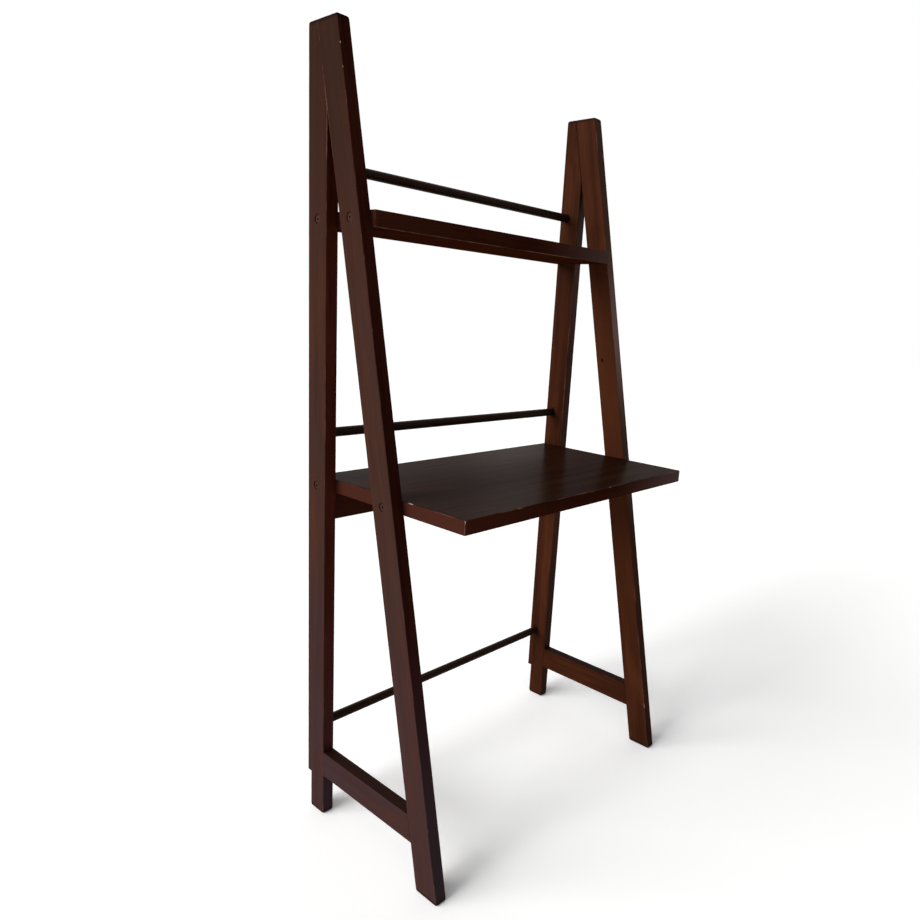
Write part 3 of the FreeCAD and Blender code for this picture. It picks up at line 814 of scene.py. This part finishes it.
for side, label in ((-1, "left"), (1, "right")):
    seed = legMarks["seeds"][label]
    joint = legMarks[label + "Joint"]

    def placeFront(u, v, w, side=side):
        return (onSide(side, w), frontAt(u) + v, u)

    grain = rakedGrain, legMarks["frontGrain"][label]
    wood = stainedTimber(label + "FrontLegStain", *grain, legMarks["faces"][label], outerFace)
    leg = makeTimber(
        label + "FrontLeg", (height, legRun, legThick), placeFront, wood,
        chips=legMarks[label + "Chips"], knots=legMarks.get(label + "Knots", ()),
        rubsAndHighlights=legMarks["rubsAndHighlights"], joins=[(1, True, kink, *joint)],
        endEasing=legMarks["endEasing"], seed=seed,
    )
    fronts = stainedTimber(label + "FrontLegFaceStain", *grain, legMarks["frontFaces"][label])
    coverFaces(leg, fronts, facesSitter)
    cutHoles(leg, [boltHole(side, *boltsAt[spot]) for spot in ("deskFront", "shelfFront")])
    finishPiece(leg, [label + "_front_leg"])

    def placeRear(u, v, w, side=side):
        return (onSide(side, w), fitBetween(v, sideFrame["legWidth"], rearLegFront(u), rearLegBack(u)), u)

    grain = uprightGrain, legMarks["rearGrain"][label]
    wood = stainedTimber(label + "RearLegStain", *grain, frameStain, outerFace)
    leg = makeTimber(
        label + "RearLeg", (height, sideFrame["legWidth"], legThick), placeRear, wood,
        rubsAndHighlights=legMarks["rearRubsAndHighlights"], joins=[(1, False, kink, *joint)],
        extra=[kink] + [sideFrame["notchHeight"] + line for line in sideFrame["lipLines"]],
        endEasing=legMarks["endEasing"], seed=seed + legMarks["rearSeed"],
    )
    # the left face towards the sitter has painted light and shade, the right one a satin coat
    fronts = stainedTimber(label + "RearLegFaceStain", *grain, legMarks["rearFaces"][label])
    coverFaces(leg, fronts, facesSitter)
    holes = [boltHole(side, *boltsAt[spot]) for spot in ("deskRear", "shelfRear")]
    cutHoles(leg, holes + [rodSocket(side, *rod) for rod in rodsAt])
    finishPiece(leg, [label + "_rear_leg"])

    def placeRail(u, v, w, side=side):
        z = railLow.z + v
        return (onSide(side, w), fitBetween(u, railLong, frontAt(z) + legRun, rearFront), z)

    grain = backwardGrain, legMarks["railGrain"][label]
    wood = stainedTimber(label + "RailStain", *grain, frameStain, outerFace)
    rail = makeTimber(
        label + "FootRail", (railLong, railWide, legThick), placeRail, wood, rubAll=legMarks["railRub"],
        joins=[(0, atHigh, -1, *legMarks["railJoint"]) for atHigh in (False, True)],
        seed=seed + legMarks["railSeed"],
    )
    coverFaces(rail, stainedTimber(label + "RailTopStain", *grain, paintedShadeRailTopStain), facesUp)
    finishPiece(rail, [label + "_foot_rail"])
print("side frames made")

# Boards: writing board, shelf, and the apron under the back of the writing board.
boards = {
    "nutHole": 0.0102,
    "nutInset": 0.030,
    "nutFarWall": 0.0015,
    "deskChips": [
        ((0.0, 0.135, 0.0265), (0.0020, 0.0080, 0.0020), 0.0016, 1.3),
        ((0.0, 0.0, 0.0255), (0.0018, 0.0018, 0.0060), 0.0012, 1.3),
        ((0.1375, 0.0, 0.0265), (0.0100, 0.0012, 0.0012), 0.0008, 1.3),
        ((0.420, 0.0, 0.0265), (0.0060, 0.0012, 0.0012), 0.0010, 1.3),
    ],
    "deskRubs": [
        ((0, -1, 0.02), (0.72, 0.003, 0.03), 0.45),
        ((-1, -1, -1), (0.003, 0.003, 0.03), 0.55),
    ],
    "shelfChips": [((0.31, 0, 0), (0.0060, 0.0009, 0.0009), 0.0007, 0.9)],
    "shelfRubs": [((0, -1, -1), (0.60, 0.003, 0.003), 0.60), ((-1, -1, -1), (0.012, 0.01, 0.03), 0.35)],
    # axis, high side, start, depth, and painted shade of the line where the apron meets the desk
    "apronJoins": [(2, True, -1, 0.0002, 0.2)],
    "endEasing": 0.0010,
    "seed": 21,
    "grain": {"desk": (0.0, 0.1, 0.3), "shelf": (1.3, 0.5, 0.1), "apron": (2.1, 0.2, 0.7)},
}
sidewaysGrain = (0, 0, 0)


def nutHoles(label, low, high):
    over = drillCut["over"]
    depth = high.z - low.z - boards["nutFarWall"] + over
    across = boards["nutHole"] / 2
    profile = [(0, across), (depth, across)]
    found = []
    for x in (low.x + boards["nutInset"], high.x - boards["nutInset"]):
        for spot in ("Rear", "Front"):
            found.append((profile, (x, boltsAt[label + spot][0], low.z - over), (0, 0, 1)))
    return found


for label, node in (("desk", "desk_top"), ("shelf", "shelf_board"), ("apron", "desk_rear_apron")):
    low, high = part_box(node)
    if label == "apron":
        high = Vector((high.x, high.y, deskLow.z))     # its tongue stays inside the desk

    def placeBoard(u, v, w, low=low):
        return (low.x + u, low.y + v, low.z + w)

    grain = sidewaysGrain, boards["grain"][label]
    wood = stainedTimber(label + "Stain", *grain, paintedShadeBoardTopStain)
    edges = stainedTimber(label + "EdgeStain", *grain, edgeStain)
    board = makeTimber(
        label + "Board", tuple(high - low), placeBoard, wood,
        chips=boards.get(label + "Chips", ()), rubsAndHighlights=boards.get(label + "Rubs", ()),
        joins=boards.get(label + "Joins", ()), endEasing=boards["endEasing"],
        seed=boards["grain"][label][0] + boards["seed"],
    )
    coverFaces(board, edges, lambda normal: not facesUp(normal))    # only tops have a full coat of lacquer
    if label == "apron":
        coverFaces(board, stainedTimber(label + "FaceStain", *grain, paintedLightApronStain), facesSitter)
    else:
        coverFaces(board, stainedTimber(label + "UndersideStain", *grain, paintedShadeUndersideStain), facesDown)
        cutHoles(board, nutHoles(label, low, high))
    finishPiece(board, [node])
print("boards made")


# Geometry Nodes: a tree with named sizes, run on a few points, then kept as a plain mesh.
def newTree(name, sizes):
    tree = bpy.data.node_groups.new(name, "GeometryNodeTree")
    tree.interface.new_socket("Geometry", in_out="INPUT", socket_type="NodeSocketGeometry")
    for label, value in sizes.items():
        socket = tree.interface.new_socket(label, in_out="INPUT", socket_type="NodeSocketFloat")
        socket.default_value = value
    tree.interface.new_socket("Geometry", in_out="OUTPUT", socket_type="NodeSocketGeometry")
    return tree, addNode(tree, "NodeGroupInput")


def endTree(tree, points, shape, material):
    facing = addNode(tree, "GeometryNodeInputNamedAttribute", {"Name": "facing"}, data_type="FLOAT_VECTOR")
    turn = addNode(tree, "FunctionNodeAlignRotationToVector", {"Vector": facing.outputs[0]}, axis="Z")
    placed = addNode(tree, "GeometryNodeInstanceOnPoints", {
        "Points": points, "Instance": shape, "Rotation": turn.outputs[0],
    })
    real = addNode(tree, "GeometryNodeRealizeInstances", {"Geometry": placed.outputs[0]})
    painted = addNode(tree, "GeometryNodeSetMaterial", {"Geometry": real.outputs[0], "Material": material})
    addNode(tree, "NodeGroupOutput", {0: painted.outputs[0]})


def runTree(name, tree, sizes, points, facings):
    mesh = bpy.data.meshes.new(name)
    mesh.from_pydata(points, [], [])
    facing = mesh.attributes.new("facing", "FLOAT_VECTOR", "POINT")
    facing.data.foreach_set("vector", [part for vector in facings for part in vector])
    piece = bpy.data.objects.new(name, mesh)
    scene.collection.objects.link(piece)
    grown = piece.modifiers.new(name, "NODES")
    grown.node_group = tree
    for item in tree.interface.items_tree:
        if item.in_out == "INPUT" and item.name in sizes:
            grown[item.identifier] = sizes[item.name]
    sights = bpy.context.evaluated_depsgraph_get()
    made = bpy.data.meshes.new_from_object(piece.evaluated_get(sights))
    piece.modifiers.clear()
    piece.data = made
    return piece


def alongZ(tree, distance):
    return addNode(tree, "ShaderNodeCombineXYZ", {"Z": distance}).outputs[0]


# Fittings have two tones in a mottle; where a look gives no pits, the mottle makes the bump as well.
def mottledFinish(name, look):
    material, tree = newMaterial(name)
    place = addNode(tree, "ShaderNodeTexCoord").outputs["Object"]
    mottle = addNoise(tree, place, look["stretch"], look["detail"])
    pitStretch = look.get("pitStretch", look["stretch"])
    pits = addNoise(tree, place, pitStretch, look.get("pitDetail", look["detail"]))
    bump = addNode(tree, "ShaderNodeBump", {
        "Strength": look["pitStrength"], "Distance": look["pitDepth"], "Height": pits,
    })
    shader = addNode(tree, "ShaderNodeBsdfPrincipled", {
        "Base Color": addMix(tree, mottle, look["dull"], look["colour"]),
        "Roughness": addRange(tree, mottle, 0.0, 1.0, look["smoothest"], look["roughest"]),
        "Metallic": look["metallic"], "Specular IOR Level": look["shine"], "Normal": bump.outputs[0],
    })
    addNode(tree, "ShaderNodeOutputMaterial", {"Surface": shader.outputs[0]})
    return material


# Connector bolts: flat chamfered head with a hex socket, shank into the board.
bolt = {
    "sizes": {              # the inputs of its node tree
        "Head Diameter": 0.0145,
        "Head Height": 0.003,
        "Chamfer": 0.0006,
        "Socket Across": 0.0044,
        "Socket Depth": 0.002,
        "Shank Diameter": 0.006,
        "Shank Length": 0.045,
    },
    "sunk": 0.001,         # depth of the head below the face of the leg
    "headRound": 48,
    "shankRound": 32,
    "colour": (0.070, 0.030, 0.022, 1),
    "dull": (0.045, 0.018, 0.012, 1),
    "stretch": (420, 420, 420),
    "detail": 4.0,
    "pitStrength": 0.3,
    "pitDepth": 0.0001,
    "smoothest": 0.35,
    "roughest": 0.60,
    "metallic": 0.0,
    "shine": 0.04,
}


def boltTree(look, material):
    tree, given = newTree("connectorBolt", look["sizes"])
    size = given.outputs
    touching = 1e-5
    headRadius = addMath(tree, "DIVIDE", size["Head Diameter"], 2.0)
    halfHead = addMath(tree, "DIVIDE", size["Head Height"], 2.0)
    head = addNode(tree, "GeometryNodeMeshCylinder", {
        "Vertices": look["headRound"], "Side Segments": 2,
        "Radius": headRadius, "Depth": size["Head Height"],
    })
    spot = addNode(tree, "GeometryNodeInputPosition").outputs[0]
    level = addNode(tree, "ShaderNodeSeparateXYZ", {0: spot}).outputs["Z"]
    middle = addNode(tree, "ShaderNodeMath", {
        0: level, 1: 0.0, 2: touching,
    }, operation="COMPARE").outputs[0]
    lift = alongZ(tree, addMath(tree, "SUBTRACT", halfHead, size["Chamfer"]))
    raised = addNode(tree, "GeometryNodeSetPosition", {
        "Geometry": head.outputs["Mesh"], "Selection": middle, "Offset": lift,
    })
    # the top ring draws in to leave the chamfer
    share = addMath(tree, "SUBTRACT", 1.0, addMath(tree, "DIVIDE", size["Chamfer"], headRadius))
    shrink = addNode(tree, "ShaderNodeCombineXYZ", {"X": share, "Y": share, "Z": 1.0}).outputs[0]
    drawn = addNode(tree, "ShaderNodeVectorMath", {0: spot, 1: shrink}, operation="MULTIPLY").outputs[0]
    topRing = addMath(tree, "GREATER_THAN", level, addMath(tree, "SUBTRACT", halfHead, touching))
    eased = addNode(tree, "GeometryNodeSetPosition", {
        "Geometry": raised.outputs[0], "Selection": topRing, "Position": drawn,
    })
    shankRadius = addMath(tree, "DIVIDE", size["Shank Diameter"], 2.0)
    shank = addNode(tree, "GeometryNodeMeshCylinder", {
        "Vertices": look["shankRound"], "Radius": shankRadius, "Depth": size["Shank Length"],
    })
    below = addMath(tree, "DIVIDE", size["Shank Length"], -2.0)
    hung = addNode(tree, "GeometryNodeTransform", {
        "Geometry": shank.outputs["Mesh"], "Translation": alongZ(tree, below),
    })
    whole = addNode(tree, "GeometryNodeMeshBoolean", operation="UNION", solver="EXACT")
    tree.links.new(eased.outputs[0], whole.inputs["Mesh 2"])
    tree.links.new(hung.outputs[0], whole.inputs["Mesh 2"])
    # across the flats to across the corners
    key = addNode(tree, "GeometryNodeMeshCylinder", {
        "Vertices": 6, "Radius": addMath(tree, "DIVIDE", size["Socket Across"], math.sqrt(3)),
        "Depth": addMath(tree, "MULTIPLY", size["Socket Depth"], 2.0),
    })
    keyed = addNode(tree, "GeometryNodeTransform", {
        "Geometry": key.outputs["Mesh"], "Translation": alongZ(tree, halfHead),
    })
    cut = addNode(tree, "GeometryNodeMeshBoolean", {
        "Mesh 1": whole.outputs[0], "Mesh 2": keyed.outputs[0],
    }, operation="DIFFERENCE", solver="EXACT")
    # the head's outer face stands at the point
    seated = addNode(tree, "GeometryNodeTransform", {
        "Geometry": cut.outputs[0], "Translation": alongZ(tree, addMath(tree, "MULTIPLY", halfHead, -1.0)),
    })
    flat = addNode(tree, "GeometryNodeSetShadeSmooth", {
        "Geometry": seated.outputs[0], "Shade Smooth": False,
    })
    endTree(tree, size["Geometry"], flat.outputs[0], material)
    return tree


boltPoints = []
boltFacings = []
for side in (-1, 1):
    for y, z in boltsAt.values():
        boltPoints.append((onSide(side, bolt["sunk"]), y, z))
        boltFacings.append((side, 0, 0))
grownBolt = boltTree(bolt, mottledFinish("browned steel", bolt))
bolts = runTree("connectorBolts", grownBolt, bolt["sizes"], boltPoints, boltFacings)
finishPiece(bolts, [
    "left_desk_bolts", "right_desk_bolts", "left_shelf_bolts", "right_shelf_bolts",
])
print("bolts made")

# Rear rods: painted steel tube, its ends let into the rear legs.
rodLow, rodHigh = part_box("upper_rod")
rod = {
    "sizes": {
        "Length": rodHigh.x - rodLow.x,
        "Diameter": rodHigh.z - rodLow.z,
        "Wall": 0.0015,
    },
    "outerRound": 48,
    "innerRound": 32,
    "lengths": 80,          # faces along a rod
    "boreOver": 1.1,        # length of the bore's cutter, in lengths of a rod
    "crisp": 40,            # edges with more degrees than this stay sharp
    "colour": (0.042, 0.0190, 0.0105, 1),
    "dull": (0.022, 0.0100, 0.0060, 1),
    "stretch": (8, 90, 90),
    "detail": 5.0,
    "pitStretch": (700, 700, 700),
    "pitDetail": 2.0,
    "pitStrength": 0.25,
    "pitDepth": 0.0001,
    "smoothest": 0.32,
    "roughest": 0.55,
    "metallic": 0.0,
    "shine": 0.025,
}


def rodTree(look, material):
    tree, given = newTree("rearRod", look["sizes"])
    size = given.outputs
    radius = addMath(tree, "DIVIDE", size["Diameter"], 2.0)
    outer = addNode(tree, "GeometryNodeMeshCylinder", {
        "Vertices": look["outerRound"], "Side Segments": look["lengths"],
        "Radius": radius, "Depth": size["Length"],
    })
    inner = addNode(tree, "GeometryNodeMeshCylinder", {
        "Vertices": look["innerRound"], "Radius": addMath(tree, "SUBTRACT", radius, size["Wall"]),
        "Depth": addMath(tree, "MULTIPLY", size["Length"], look["boreOver"]),
    })
    tube = addNode(tree, "GeometryNodeMeshBoolean", {
        "Mesh 1": outer.outputs["Mesh"], "Mesh 2": inner.outputs["Mesh"],
    }, operation="DIFFERENCE", solver="EXACT")
    # the turned faces are smooth, the cut ends stay crisp
    bend = addNode(tree, "GeometryNodeInputMeshEdgeAngle").outputs["Unsigned Angle"]
    crisp = addMath(tree, "GREATER_THAN", bend, math.radians(look["crisp"]))
    smooth = addNode(tree, "GeometryNodeSetShadeSmooth", {
        "Geometry": tube.outputs[0], "Shade Smooth": True,
    })
    ends = addNode(tree, "GeometryNodeSetShadeSmooth", {
        "Geometry": smooth.outputs[0], "Selection": crisp, "Shade Smooth": False,
    }, domain="EDGE")
    endTree(tree, size["Geometry"], ends.outputs[0], material)
    return tree


rodMiddles = [(0.0, y, z) for y, z in rodsAt]
grownRod = rodTree(rod, mottledFinish("bronze paint", rod))
rods = runTree("rearRods", grownRod, rod["sizes"], rodMiddles, [(1, 0, 0)] * len(rodMiddles))
finishPiece(rods, ["upper_rod", "middle_rod", "lower_rod"])
print("rods made")

# Barrel nuts and glued splines keep their solids and only get their finishes.
nutLook = {
    "colour": (0.45, 0.44, 0.42, 1),
    "dull": (0.30, 0.30, 0.29, 1),
    "stretch": (500, 500, 500),
    "detail": 4.0,
    "pitStrength": 0.3,
    "pitDepth": 0.0001,
    "smoothest": 0.27,
    "roughest": 0.47,
    "metallic": 1.0,
    "shine": 0.5,
}
splineLook = dict(
    nutLook, colour=(0.55, 0.38, 0.22, 1), dull=(0.40, 0.25, 0.13, 1), stretch=(200, 200, 12),
    smoothest=0.52, roughest=0.72, metallic=0.0,
)
zinc = mottledFinish("zinc plate", nutLook)
beech = mottledFinish("bare beech", splineLook)
for node, finish in (
    ("desk_barrel_nuts", zinc), ("shelf_barrel_nuts", zinc),
    ("left_apex_spline", beech), ("right_apex_spline", beech),
):
    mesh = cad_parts[node].data
    mesh.materials.clear()
    mesh.materials.append(finish)
print("fittings finished")
